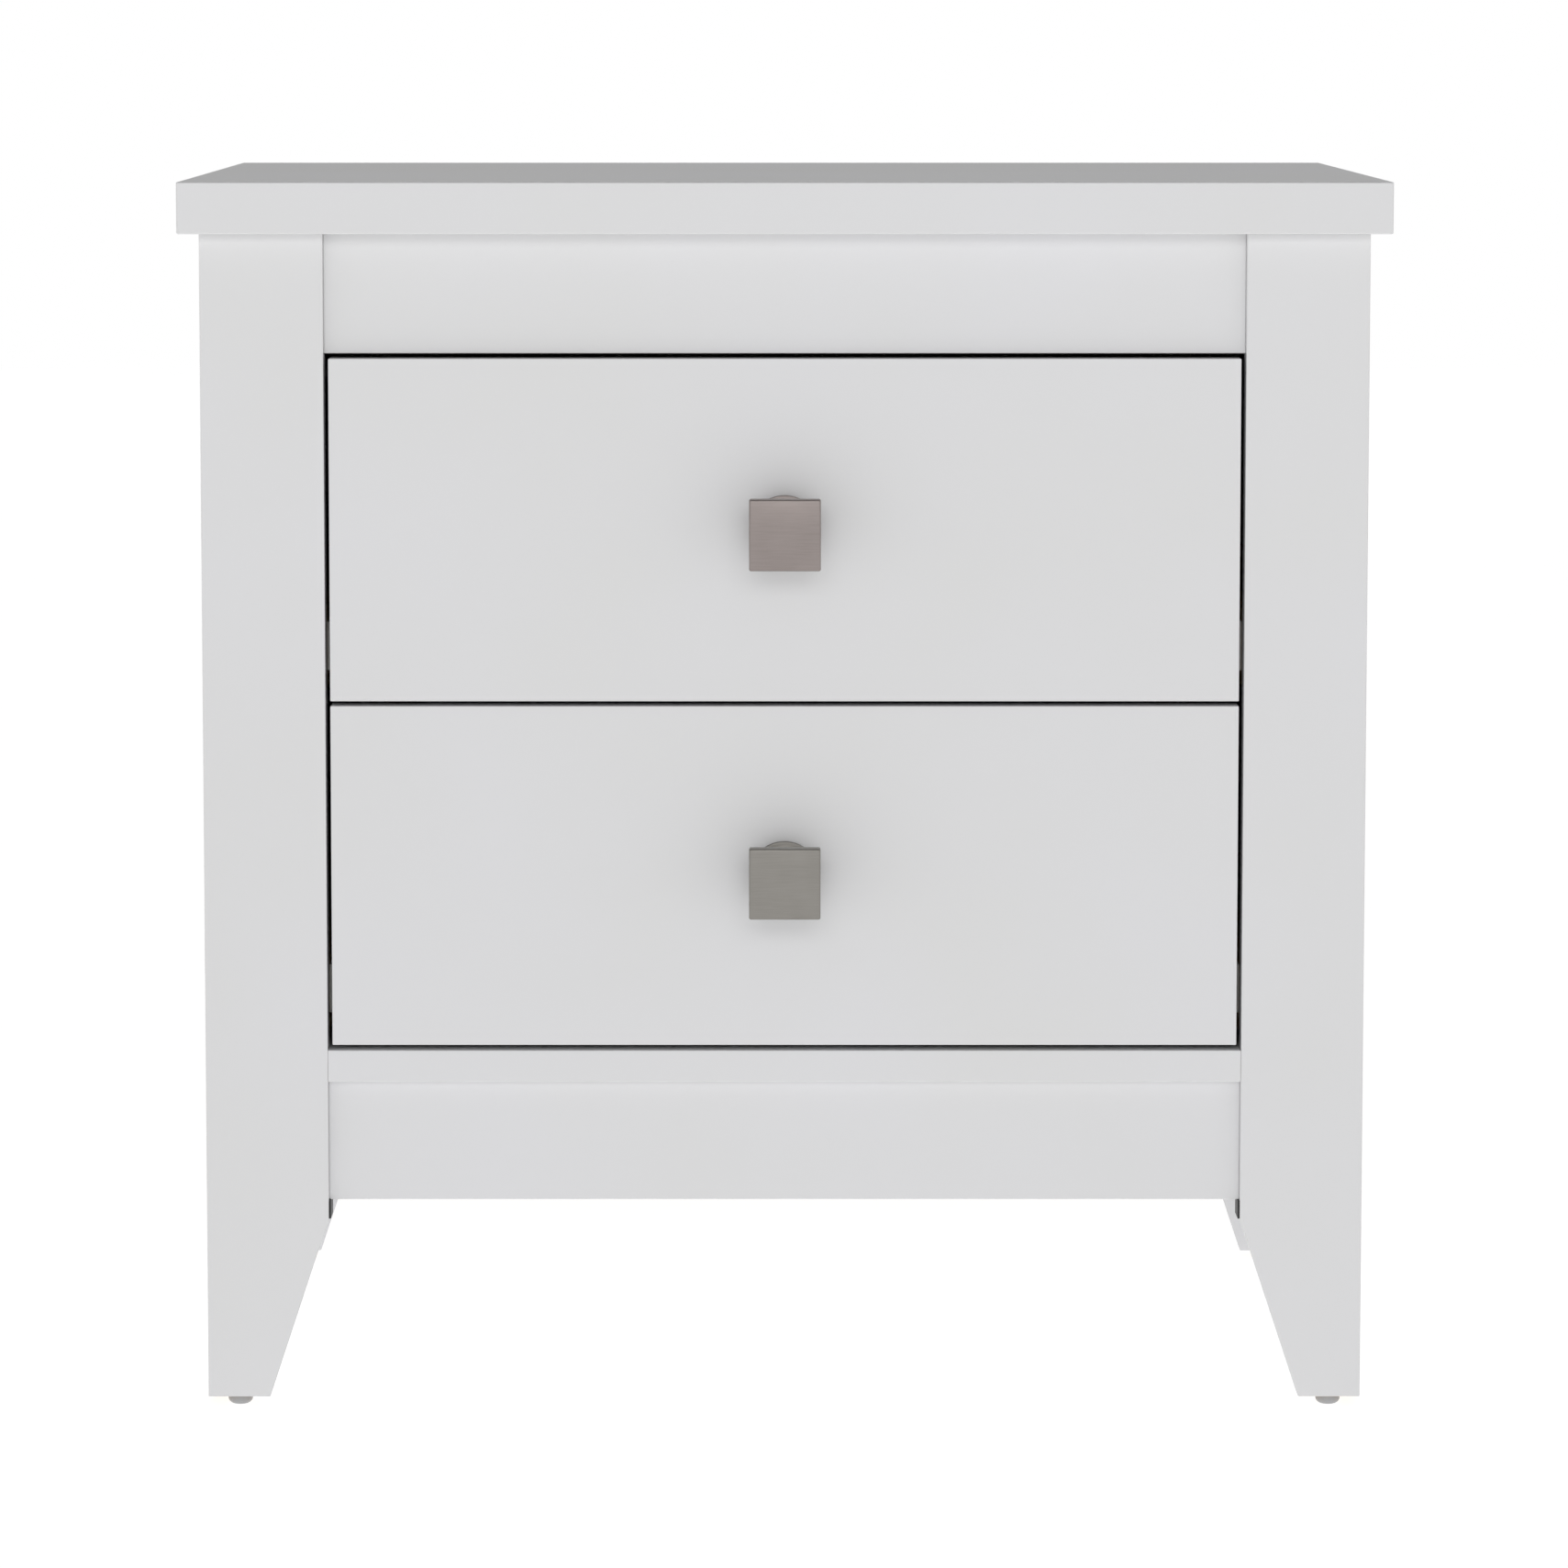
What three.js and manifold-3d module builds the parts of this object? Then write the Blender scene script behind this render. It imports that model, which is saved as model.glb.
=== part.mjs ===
// A nightstand with two inset drawers: melamine-faced boards on four tapering legs, roller
// runners, square knobs and nail-on glides. Millimetres, +Z up; the drawers face -Y.
// The origin is on the floor, at the middle of the footprint with the knobs included.

import * as THREE from 'three';
import { mergeVertices } from 'three/addons/utils/BufferGeometryUtils.js';
import Module from 'manifold-3d';

const wasm = await Module();
wasm.setup();

// ---------- Driving dimensions ----------
const HEIGHT = 574;            // floor to the top face
const BOARD = 15;              // melamine-faced board of the carcass

const TOP = { width: 560, depth: 400, thick: 24 };
const FRONT_OVERHANG = 10;     // of the top beyond the legs' front faces
const REAR_OVERHANG = 7;
const CARCASS_WIDTH = 541;

const LEG = { width: 57, foot: 29, taperTop: 89 };   // taperTop is above the floor
const GLIDE = { radius: 5.75, height: 4.5, flat: 2.5, rim: 1.75 };
const GLIDE_NAIL = { radius: 1, hole: 1.25, length: 14, point: 2, endPlay: 1 };

const RAIL = { height: 55.5, setback: 5 };
const APRON_HEIGHT = 56.5;
const FRONT = { height: 159.25, sideGap: 2.25, topGap: 2.25, underGap: 2.5 };

const BACK = { thick: 3, sideInset: 6, topInset: 4, bottomLap: 6 };
const BRACKET = {
  lip: 1, plate: 5, reach: 26.5, wing: 23.5, top: 150, lipSetback: 1, lipRoot: 2,
};

const BOX = { side: 12, height: 120, length: 350, lift: 14, runnerRoom: 13 };
const GROOVE = { up: 10, depth: 6, height: 3.5 };
const DRAWER_BOTTOM = { thick: 3, play: 0.5 };

const KNOB = {
  head: 32, headThick: 8, chamfer: 1, reach: 30,
  foot: 16.5, footEdge: 3, neck: 7, neckFrom: 10, neckTo: 16, collar: 9,
};
const KNOB_SCREW = {
  radius: 2, hole: 2.5, bite: 8, play: 0.25, endPlay: 1,
  headRadius: 4, headHeight: 2.5, headFlat: 2.5, headRim: 1.25,
};

const BATTEN = { height: 40, below: 10 };
const RUNNER = {
  gauge: 1.25, length: 350, lowerFlange: 10, upperFlange: 7.5, channel: 20.5, mouth: 26, inset: 2,
};
const SLIDER = { length: 348, flange: 9.25, rise: 22.5, underFlange: 10, inset: 1 };
const ROLLER = { radius: 9.75, bore: 3.25, width: 7, chamfer: 0.5, fromEnd: 12, endPlay: 0.25 };
const RIVET = { radius: 3, head: 4.75, headThick: 1, runnerShoulder: 1.25, sliderShoulder: 1.5 };
const RUNNER_ROLLER_UP = 12.5;   // axle heights above the underside of the drawer box
const SLIDER_ROLLER_UP = 10;

const ROUND = 24;                // facets of rollers and glides
const SMALL_ROUND = 16;          // facets of rivets, screws and holes
const KNOB_ROUND = 40;
const DOME_STEPS = 5;
const COVE_STEPS = 6;
const CHAMFER_STEPS = 2;
const CUT_MARGIN = 1;            // how far a cutter runs past the face it cuts
const JOIN_OVERLAP = 1;          // how far one shape runs into another before they are joined
const MERGE_DISTANCE = 1e-4;

// ---------- Levels and planes worked out from them ----------
const FOOTPRINT_DEPTH = TOP.depth + KNOB.reach - FRONT_OVERHANG;
const FACE_Y = -FOOTPRINT_DEPTH / 2 + KNOB.reach;          // front faces of legs and drawers
const REAR_Y = FACE_Y - FRONT_OVERHANG + TOP.depth - REAR_OVERHANG;   // rear faces of the legs
const INNER_FRONT_Y = FACE_Y + BOARD;
const INNER_REAR_Y = REAR_Y - BOARD;
const HALF_WIDTH = CARCASS_WIDTH / 2;
const HALF_INSIDE = HALF_WIDTH - BOARD;
const HALF_OPENING = HALF_WIDTH - LEG.width;

const TOP_UNDERSIDE = HEIGHT - TOP.thick;
const RAIL_BOTTOM = TOP_UNDERSIDE - RAIL.height;
const UPPER_FRONT_BOTTOM = RAIL_BOTTOM - FRONT.topGap - FRONT.height;
const LOWER_FRONT_BOTTOM = UPPER_FRONT_BOTTOM - FRONT.topGap - FRONT.height;
const BOTTOM_TOP = LOWER_FRONT_BOTTOM - FRONT.underGap;
const BOTTOM_UNDERSIDE = BOTTOM_TOP - BOARD;
const APRON_BOTTOM = BOTTOM_UNDERSIDE - APRON_HEIGHT;

const SIDES = [['left', -1], ['right', 1]];
const LEVELS = [['upper', UPPER_FRONT_BOTTOM], ['lower', LOWER_FRONT_BOTTOM]];

// ---------- Finishes ----------
const FINISHES = {
  melamine: { color: 0xdadada, roughness: 0.45, metalness: 0 },
  hardboard: { color: 0xb99a72, roughness: 0.8, metalness: 0 },
  pine: { color: 0xd8b98a, roughness: 0.7, metalness: 0 },
  nickel: { color: 0x968d88, roughness: 0.35, metalness: 1 },
  steel: { color: 0xb8bcc0, roughness: 0.35, metalness: 1 },
  enamel: { color: 0xe6e6e2, roughness: 0.4, metalness: 0 },
  nylon: { color: 0xf0eee6, roughness: 0.5, metalness: 0 },
  glide: { color: 0xd6d6d6, roughness: 0.5, metalness: 0 },
  blackPlastic: { color: 0x161616, roughness: 0.55, metalness: 0 },
};

// ---------- Closed geometry, cuts and joins ----------

// The merged geometry with its faces pointing out and without a lathe's zero-area slivers.
function closedGeometry(source) {
  source.deleteAttribute('normal');
  source.deleteAttribute('uv');
  const merged = mergeVertices(source, MERGE_DISTANCE);
  const position = merged.getAttribute('position');
  const corners = Array.from(merged.index.array);
  const kept = [];
  let volume = 0;
  for (let i = 0; i < corners.length; i += 3) {
    const triangle = corners.slice(i, i + 3);
    if (new Set(triangle).size < 3) continue;
    const [a, b, c] = triangle.map((n) => new THREE.Vector3().fromBufferAttribute(position, n));
    volume += a.dot(b.cross(c));
    kept.push(...triangle);
  }
  if (volume < 0) kept.reverse();
  merged.setIndex(kept);
  return merged;
}

function toSolid(source) {
  const closed = closedGeometry(source);
  return new wasm.Manifold(new wasm.Mesh({
    numProp: 3,
    vertProperties: new Float32Array(closed.getAttribute('position').array),
    triVerts: new Uint32Array(closed.index.array),
  }));
}

function toGeometry(solid) {
  const { vertProperties, triVerts } = solid.getMesh();
  const geometry = new THREE.BufferGeometry();
  geometry.setAttribute('position', new THREE.BufferAttribute(vertProperties, 3));
  geometry.setIndex(new THREE.BufferAttribute(triVerts, 1));
  geometry.computeVertexNormals();
  return geometry;
}

function joined(first, ...rest) {
  return toGeometry(rest.reduce((solid, piece) => solid.add(toSolid(piece)), toSolid(first)));
}

function cutFrom(blank, ...cutters) {
  return toGeometry(cutters.reduce((solid, cutter) => solid.subtract(toSolid(cutter)), toSolid(blank)));
}

// ---------- Simple shapes ----------

// A box given by its spans [low, high] along X, Y and Z.
function boxOf(x, y, z) {
  const middle = (span) => (span[0] + span[1]) / 2;
  return new THREE.BoxGeometry(x[1] - x[0], y[1] - y[0], z[1] - z[0])
    .translate(middle(x), middle(y), middle(z));
}

// A span on the left or right side, from its distances to the middle plane.
function across(side, near, far) {
  return side > 0 ? [near, far] : [-far, -near];
}

function outlineOf(points) {
  return new THREE.Shape(points.map(([x, y]) => new THREE.Vector2(x, y)));
}

// Points on part of an ellipse, from one angle to another in degrees.
function arcPoints([x, y], [radiusX, radiusY], from, to, steps) {
  const [start, end] = [from, to].map(THREE.MathUtils.degToRad);
  return new THREE.EllipseCurve(x, y, radiusX, radiusY, start, end, end < start)
    .getPoints(steps)
    .map((point) => [point.x, point.y]);
}

// A solid turned from a profile of [radius, height] points, standing along +Z.
function turned(profile, facets) {
  const points = profile.map(([radius, height]) => new THREE.Vector2(radius, height));
  return closedGeometry(new THREE.LatheGeometry(points, facets)).rotateX(Math.PI / 2);
}

function rod(radius, from, to, facets = SMALL_ROUND) {
  return turned([[0, from], [radius, from], [radius, to], [0, to]], facets);
}

// Turns a +Z solid to lie along X, its head end towards side times +X.
function alongX(geometry, side) {
  return geometry.rotateY(side * Math.PI / 2);
}

function addMesh(group, name, geometry, finish, [x, y, z] = [0, 0, 0]) {
  geometry.computeVertexNormals();
  const mesh = new THREE.Mesh(geometry, new THREE.MeshStandardMaterial(FINISHES[finish]));
  mesh.name = name;
  mesh.position.set(x, y, z);
  group.add(mesh);
}

// A plain board, centred on its own mesh and placed by its spans in the group.
function addBoard(group, name, x, y, z, finish = 'melamine') {
  const middle = [x, y, z].map((span) => (span[0] + span[1]) / 2);
  const geometry = new THREE.BoxGeometry(x[1] - x[0], y[1] - y[0], z[1] - z[0]);
  addMesh(group, name, geometry, finish, middle);
}

// ---------- Legs and glides ----------

// One board of an L-shaped leg, seen square on: outer edge at 0, inner edge tapering to the foot.
function legOutline() {
  return [
    [0, GLIDE.height], [LEG.foot, GLIDE.height], [LEG.width, LEG.taperTop],
    [LEG.width, TOP_UNDERSIDE], [0, TOP_UNDERSIDE],
  ];
}

function legGeometry(side) {
  const outline = legOutline().map(([inward, z]) => [side * (HALF_WIDTH - inward), z]);
  const board = new THREE.ExtrudeGeometry(outlineOf(outline), { depth: BOARD, bevelEnabled: false })
    .rotateX(Math.PI / 2)
    .translate(0, BOARD, 0);
  const holeTop = GLIDE.height + GLIDE_NAIL.length + GLIDE_NAIL.endPlay;
  const nailHole = rod(GLIDE_NAIL.hole, 0, holeTop)
    .translate(side * (HALF_WIDTH - LEG.foot / 2), BOARD / 2, 0);
  return cutFrom(board, nailHole);
}

function glideGeometry() {
  const { radius, height, flat, rim } = GLIDE;
  const dome = arcPoints([flat, height - rim], [radius - flat, height - rim], -90, 0, DOME_STEPS);
  const tip = height + GLIDE_NAIL.length;
  return turned([
    [0, 0], ...dome, [radius, height],
    [GLIDE_NAIL.radius, height], [GLIDE_NAIL.radius, tip - GLIDE_NAIL.point], [0, tip],
  ], ROUND);
}

function addLegs(group) {
  for (const [end, y] of [['front', FACE_Y], ['rear', INNER_REAR_Y]]) {
    for (const [name, side] of SIDES) {
      addMesh(group, `${end}_${name}_leg`, legGeometry(side), 'melamine', [0, y, 0]);
      const foot = [side * (HALF_WIDTH - LEG.foot / 2), y + BOARD / 2, 0];
      addMesh(group, `${end}_${name}_glide`, glideGeometry(), 'glide', foot);
    }
  }
}

// ---------- Side panels ----------

// The panel between a front and a rear leg. Its lower edge is cut away between two feet, which
// taper as the legs do, so that each corner stands on an L.
function sidePanelGeometry() {
  const footIn = LEG.foot - BOARD;
  const legIn = LEG.width - BOARD;
  const outline = [
    [INNER_FRONT_Y, GLIDE.height], [INNER_FRONT_Y + footIn, GLIDE.height],
    [INNER_FRONT_Y + legIn, LEG.taperTop], [INNER_FRONT_Y + legIn, APRON_BOTTOM],
    [INNER_REAR_Y - legIn, APRON_BOTTOM], [INNER_REAR_Y - legIn, LEG.taperTop],
    [INNER_REAR_Y - footIn, GLIDE.height], [INNER_REAR_Y, GLIDE.height],
    [INNER_REAR_Y, TOP_UNDERSIDE], [INNER_FRONT_Y, TOP_UNDERSIDE],
  ];
  return closedGeometry(
    new THREE.ExtrudeGeometry(outlineOf(outline), { depth: BOARD, bevelEnabled: false }),
  ).rotateX(Math.PI / 2).rotateZ(Math.PI / 2).translate(-BOARD / 2, 0, 0);
}

function addSidePanels(group) {
  for (const [name, side] of SIDES) {
    const x = side * (HALF_WIDTH - BOARD / 2);
    addMesh(group, `${name}_side_panel`, sidePanelGeometry(), 'melamine', [x, 0, 0]);
  }
}

// ---------- Top, rails, aprons, bottom and back ----------

// The bottom reaches forward and back between the legs, so its corners are notched round them.
function bottomPanelGeometry() {
  const outline = [];
  for (const [x, y] of [[1, -1], [1, 1], [-1, 1], [-1, -1]]) {
    const [end, inner] = y < 0 ? [FACE_Y, INNER_FRONT_Y] : [REAR_Y, INNER_REAR_Y];
    const corner = [
      [x * HALF_OPENING, end], [x * HALF_OPENING, inner], [x * HALF_INSIDE, inner],
    ];
    outline.push(...(x * y < 0 ? corner : corner.reverse()));
  }
  return closedGeometry(
    new THREE.ExtrudeGeometry(outlineOf(outline), { depth: BOARD, bevelEnabled: false }),
  );
}

function addCrossPieces(group) {
  const topFront = FACE_Y - FRONT_OVERHANG;
  const opening = [-HALF_OPENING, HALF_OPENING];
  const frontY = [FACE_Y + RAIL.setback, INNER_FRONT_Y + RAIL.setback];
  const rearY = [INNER_REAR_Y, REAR_Y];
  const railZ = [RAIL_BOTTOM, TOP_UNDERSIDE];
  const apronZ = [APRON_BOTTOM, BOTTOM_UNDERSIDE];

  addBoard(group, 'top_panel', [-TOP.width / 2, TOP.width / 2], [topFront, topFront + TOP.depth],
    [TOP_UNDERSIDE, HEIGHT]);
  addBoard(group, 'front_top_rail', opening, frontY, railZ);
  addBoard(group, 'rear_top_rail', opening, rearY, railZ);
  addBoard(group, 'front_apron', opening, frontY, apronZ);
  addBoard(group, 'rear_apron', opening, rearY, apronZ);
  addMesh(group, 'bottom_panel', bottomPanelGeometry(), 'melamine', [0, 0, BOTTOM_UNDERSIDE]);

  const backHalf = HALF_WIDTH - BACK.sideInset;
  addBoard(group, 'back_panel', [-backHalf, backHalf], [REAR_Y, REAR_Y + BACK.thick],
    [BOTTOM_UNDERSIDE - BACK.bottomLap, TOP_UNDERSIDE - BACK.topInset], 'hardboard');
}

// A moulded bracket behind each end of the front apron: one plate screwed to the leg, one to the
// apron, and a thin lip, rooted in the leg's plate, that covers the leg's edge under the apron.
function apronBracketGeometry(side) {
  const apronBack = INNER_FRONT_Y + RAIL.setback;
  const outer = HALF_OPENING + BRACKET.reach;
  const legPlate = boxOf(across(side, HALF_OPENING, outer), [INNER_FRONT_Y, apronBack],
    [LEG.taperTop, BRACKET.top]);
  const apronPlate = boxOf(across(side, HALF_OPENING - BRACKET.wing, outer),
    [apronBack, apronBack + BRACKET.plate], [APRON_BOTTOM, BRACKET.top]);
  const lipZ = [LEG.taperTop, APRON_BOTTOM];
  const rootY = [INNER_FRONT_Y, INNER_FRONT_Y + BRACKET.lipRoot];
  const lip = boxOf(across(side, HALF_OPENING - BRACKET.lip, HALF_OPENING),
    [FACE_Y + BRACKET.lipSetback, rootY[1]], lipZ);
  const lipRoot = boxOf(across(side, HALF_OPENING - BRACKET.lip, HALF_OPENING + JOIN_OVERLAP),
    rootY, lipZ);
  return joined(legPlate, apronPlate, lip, lipRoot);
}

// ---------- Knobs ----------

// Round foot, a cove in to the neck, a flare out to the square head, and a blind screw hole from
// behind; it stands along +Z here.
function knobGeometry() {
  const { head, headThick, chamfer, reach, foot, footEdge, neck, neckFrom, neckTo, collar } = KNOB;
  const headBack = reach - headThick;
  const cove = arcPoints([foot, neckFrom], [foot - neck, neckFrom - footEdge], -90, -180, COVE_STEPS);
  const flare = arcPoints([collar, neckTo], [collar - neck, headBack - neckTo], 180, 90, COVE_STEPS);
  const hole = KNOB_SCREW.radius + KNOB_SCREW.play;
  const holeEnd = KNOB_SCREW.bite + KNOB_SCREW.endPlay;
  const stemEnd = headBack + JOIN_OVERLAP;
  const stem = turned([
    [0, holeEnd], [hole, holeEnd], [hole, 0], [foot, 0],
    ...cove, ...flare, [collar, stemEnd], [0, stemEnd],
  ], KNOB_ROUND);
  const half = head / 2 - chamfer;
  const square = outlineOf([[-half, -half], [half, -half], [half, half], [-half, half]]);
  const block = new THREE.ExtrudeGeometry(square, {
    depth: headThick - 2 * chamfer, bevelEnabled: true,
    bevelThickness: chamfer, bevelSize: chamfer, bevelSegments: CHAMFER_STEPS,
  }).translate(0, 0, headBack + chamfer);
  return joined(block, stem);
}

// A pan-head machine screw from inside the drawer, its head at 0 and its shank along +Z.
function knobScrewGeometry() {
  const { radius, headRadius, headHeight, headFlat, headRim, bite } = KNOB_SCREW;
  return turned([
    [0, -headHeight], [headFlat, -headHeight], [headRadius, -headRim],
    [headRadius, 0], [radius, 0], [radius, BOARD + bite], [0, BOARD + bite],
  ], SMALL_ROUND);
}

// ---------- Runners ----------

// A rivet along X: shoulder on the profile, journal for the roller, thin head at the free end.
function rivet(side, shoulder) {
  const journalEnd = shoulder + ROLLER.width + 2 * ROLLER.endPlay;
  const head = journalEnd + RIVET.headThick;
  return alongX(turned([
    [0, 0], [RIVET.head, 0], [RIVET.head, shoulder], [RIVET.radius, shoulder],
    [RIVET.radius, journalEnd], [RIVET.head, journalEnd], [RIVET.head, head], [0, head],
  ], SMALL_ROUND), side);
}

// Profile on the cabinet: web, full lower flange, and an upper flange that stops short of the
// front so that the drawer's profile can ride on the front roller. Z 0 is the box's underside.
function runnerGeometry(side) {
  const { gauge, length, lowerFlange, upperFlange, channel, mouth } = RUNNER;
  const inward = (from, to) => across(side, HALF_OPENING - to, HALF_OPENING - from);
  const web = boxOf(inward(0, gauge), [0, length], [-gauge, channel + gauge]);
  const lower = boxOf(inward(0, lowerFlange), [0, length], [-gauge, 0]);
  const upper = boxOf(inward(0, upperFlange), [mouth, length], [channel, channel + gauge]);
  const axle = rivet(-side, RIVET.runnerShoulder)
    .translate(side * (HALF_OPENING - gauge), ROLLER.fromEnd, RUNNER_ROLLER_UP);
  return joined(web, lower, upper, axle);
}

// Profile on the drawer: flange under the side's edge, web up its face, and a flange on top that
// turns out over the cabinet's roller. The axle of its own roller is near the rear end.
function sliderGeometry(side) {
  const { length, flange, rise, underFlange } = SLIDER;
  const gauge = RUNNER.gauge;
  const face = HALF_OPENING - BOX.runnerRoom;
  const web = boxOf(across(side, face, face + gauge), [0, length], [-gauge, rise + gauge]);
  const over = boxOf(across(side, face, face + gauge + flange), [0, length], [rise, rise + gauge]);
  const under = boxOf(across(side, face - underFlange, face + gauge), [0, length], [-gauge, 0]);
  const axle = rivet(side, RIVET.sliderShoulder)
    .translate(side * (face + gauge), length - ROLLER.fromEnd, SLIDER_ROLLER_UP);
  return joined(web, over, under, axle);
}

function rollerGeometry() {
  const { radius, bore, width, chamfer } = ROLLER;
  const half = width / 2;
  return alongX(turned([
    [bore, -half], [radius - chamfer, -half], [radius, chamfer - half], [radius, half - chamfer],
    [radius - chamfer, half], [bore, half], [bore, -half],
  ], ROUND), 1);
}

// Battens, profiles and rollers of one drawer, both sides. The group's origin is level with the
// drawer box's underside, at the inner faces of the front legs.
function runnersOf(level) {
  const group = new THREE.Group();
  for (const [name, side] of SIDES) {
    addBoard(group, `${level}_${name}_runner_batten`, across(side, HALF_OPENING, HALF_INSIDE),
      [0, INNER_REAR_Y - INNER_FRONT_Y], [-BATTEN.below, BATTEN.height - BATTEN.below], 'pine');
    addMesh(group, `${level}_${name}_cabinet_runner`, runnerGeometry(side), 'enamel',
      [0, RUNNER.inset, 0]);
    addMesh(group, `${level}_${name}_drawer_runner`, sliderGeometry(side), 'enamel',
      [0, SLIDER.inset, 0]);

    const rollerMiddle = RUNNER.gauge + ROLLER.endPlay + ROLLER.width / 2;
    const frontRoller = HALF_OPENING - RIVET.runnerShoulder - rollerMiddle;
    const rearRoller = HALF_OPENING - BOX.runnerRoom + RIVET.sliderShoulder + rollerMiddle;
    addMesh(group, `${level}_${name}_front_roller`, rollerGeometry(), 'nylon',
      [side * frontRoller, RUNNER.inset + ROLLER.fromEnd, RUNNER_ROLLER_UP]);
    addMesh(group, `${level}_${name}_rear_roller`, rollerGeometry(), 'nylon',
      [side * rearRoller, SLIDER.inset + SLIDER.length - ROLLER.fromEnd, SLIDER_ROLLER_UP]);
  }
  return group;
}

// ---------- Drawers ----------

// The group's origin is at the lower edge of the front board, in its outer face; +Y goes inward.
function drawerOf(level) {
  const group = new THREE.Group();
  const halfFront = HALF_OPENING - FRONT.sideGap;
  const halfBox = HALF_OPENING - BOX.runnerRoom;
  const halfClear = halfBox - BOX.side;
  const halfPanel = halfClear + GROOVE.depth - DRAWER_BOTTOM.play;
  const boxZ = [BOX.lift, BOX.lift + BOX.height];
  const boxY = [BOARD, BOARD + BOX.length];
  const grooveZ = [BOX.lift + GROOVE.up, BOX.lift + GROOVE.up + GROOVE.height];
  const panelLow = grooveZ[0] + (GROOVE.height - DRAWER_BOTTOM.thick) / 2;
  const knobUp = FRONT.height / 2;

  const board = boxOf([-halfFront, halfFront], [0, BOARD], [0, FRONT.height]);
  const frontGroove = boxOf([-halfClear - GROOVE.depth, halfClear + GROOVE.depth],
    [BOARD - GROOVE.depth, BOARD + CUT_MARGIN], grooveZ);
  const knobHole = rod(KNOB_SCREW.hole, -CUT_MARGIN, BOARD + CUT_MARGIN)
    .rotateX(-Math.PI / 2)
    .translate(0, 0, knobUp);
  addMesh(group, `${level}_drawer_front`, cutFrom(board, frontGroove, knobHole), 'melamine');

  for (const [name, side] of SIDES) {
    const panel = boxOf(across(side, halfClear, halfBox), boxY, boxZ);
    const groove = boxOf(across(side, halfClear - CUT_MARGIN, halfClear + GROOVE.depth),
      [boxY[0] - CUT_MARGIN, boxY[1] + CUT_MARGIN], grooveZ);
    addMesh(group, `${level}_drawer_${name}_side`, cutFrom(panel, groove), 'melamine');
  }

  addBoard(group, `${level}_drawer_back`, [-halfClear, halfClear], [boxY[1] - BOX.side, boxY[1]],
    [grooveZ[1], boxZ[1]]);
  addBoard(group, `${level}_drawer_bottom`, [-halfPanel, halfPanel],
    [BOARD - GROOVE.depth + DRAWER_BOTTOM.play, boxY[1]], [panelLow, panelLow + DRAWER_BOTTOM.thick],
    'hardboard');

  const knob = knobGeometry().rotateX(Math.PI / 2);
  addMesh(group, `${level}_knob`, knob, 'nickel', [0, 0, knobUp]);
  const screw = knobScrewGeometry().rotateX(Math.PI / 2);
  addMesh(group, `${level}_knob_screw`, screw, 'steel', [0, BOARD, knobUp]);
  return group;
}

// ---------- Assembly ----------
const nightstand = new THREE.Group();

const cabinet = new THREE.Group();
addCrossPieces(cabinet);
addSidePanels(cabinet);
addLegs(cabinet);
for (const [name, side] of SIDES) {
  addMesh(cabinet, `${name}_apron_bracket`, apronBracketGeometry(side), 'blackPlastic');
}
nightstand.add(cabinet);

for (const [level, frontBottom] of LEVELS) {
  const runners = runnersOf(level);
  runners.position.set(0, INNER_FRONT_Y, frontBottom + BOX.lift);
  const drawer = drawerOf(level);
  drawer.position.set(0, FACE_Y, frontBottom);
  nightstand.add(runners, drawer);
}

export default nightstand;
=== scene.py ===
import math

import bmesh
import bpy
from mathutils import Matrix, Vector


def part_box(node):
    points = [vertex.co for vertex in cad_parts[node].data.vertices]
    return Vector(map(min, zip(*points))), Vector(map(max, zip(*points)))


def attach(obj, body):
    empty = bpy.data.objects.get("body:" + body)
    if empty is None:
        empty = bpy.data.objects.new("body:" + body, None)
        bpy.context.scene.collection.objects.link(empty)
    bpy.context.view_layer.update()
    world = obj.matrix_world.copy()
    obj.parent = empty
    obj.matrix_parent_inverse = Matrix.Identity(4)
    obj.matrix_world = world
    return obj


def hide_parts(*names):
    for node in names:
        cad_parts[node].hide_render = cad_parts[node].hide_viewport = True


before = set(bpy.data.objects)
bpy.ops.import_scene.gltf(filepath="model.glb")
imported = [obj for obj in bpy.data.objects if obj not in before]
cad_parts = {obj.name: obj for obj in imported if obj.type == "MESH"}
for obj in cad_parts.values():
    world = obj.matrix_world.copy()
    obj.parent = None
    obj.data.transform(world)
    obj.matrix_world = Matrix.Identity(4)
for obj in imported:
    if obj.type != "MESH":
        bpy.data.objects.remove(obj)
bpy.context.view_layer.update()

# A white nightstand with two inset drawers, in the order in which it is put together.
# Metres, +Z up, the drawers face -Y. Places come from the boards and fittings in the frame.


# ---------- Side panels and legs ----------
# Chipboard 15 mm thick, faced on both sides with white melamine paper pressed on hot, its edges
# covered with glued strip that is trimmed and scraped flush. The leg boards are dowelled and glued
# to the side panels, which makes each corner an L.

MM = 0.001
SIDES = {"left": -1, "right": 1}        # each with the way it lies along X
ENDS = ("front", "rear")
STRIP_EDGE = 0.5 * MM            # radius that the scraper leaves on an edge strip
SAWN_HEIGHT = 6 * MM             # only the feet stand this low, and they are left sawn

MIX_FACTOR = 0                   # the sockets of a colour mix, whose names are not unique
MIX_FROM = 6
MIX_TO = 7
MIXED = 2                        # its colour output


def linear(hex_colour):
    """An sRGB hex colour as the linear colour that a shader takes."""
    channels = [int(hex_colour[i:i + 2], 16) / 255 for i in (1, 3, 5)]
    return [c / 12.92 if c <= 0.04045 else ((c + 0.055) / 1.055) ** 2.4 for c in channels] + [1]


def new_material(name):
    """A material with an empty node tree, and the tree."""
    material = bpy.data.materials.new(name)
    material.use_nodes = True
    material.node_tree.nodes.clear()
    return material, material.node_tree


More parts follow.
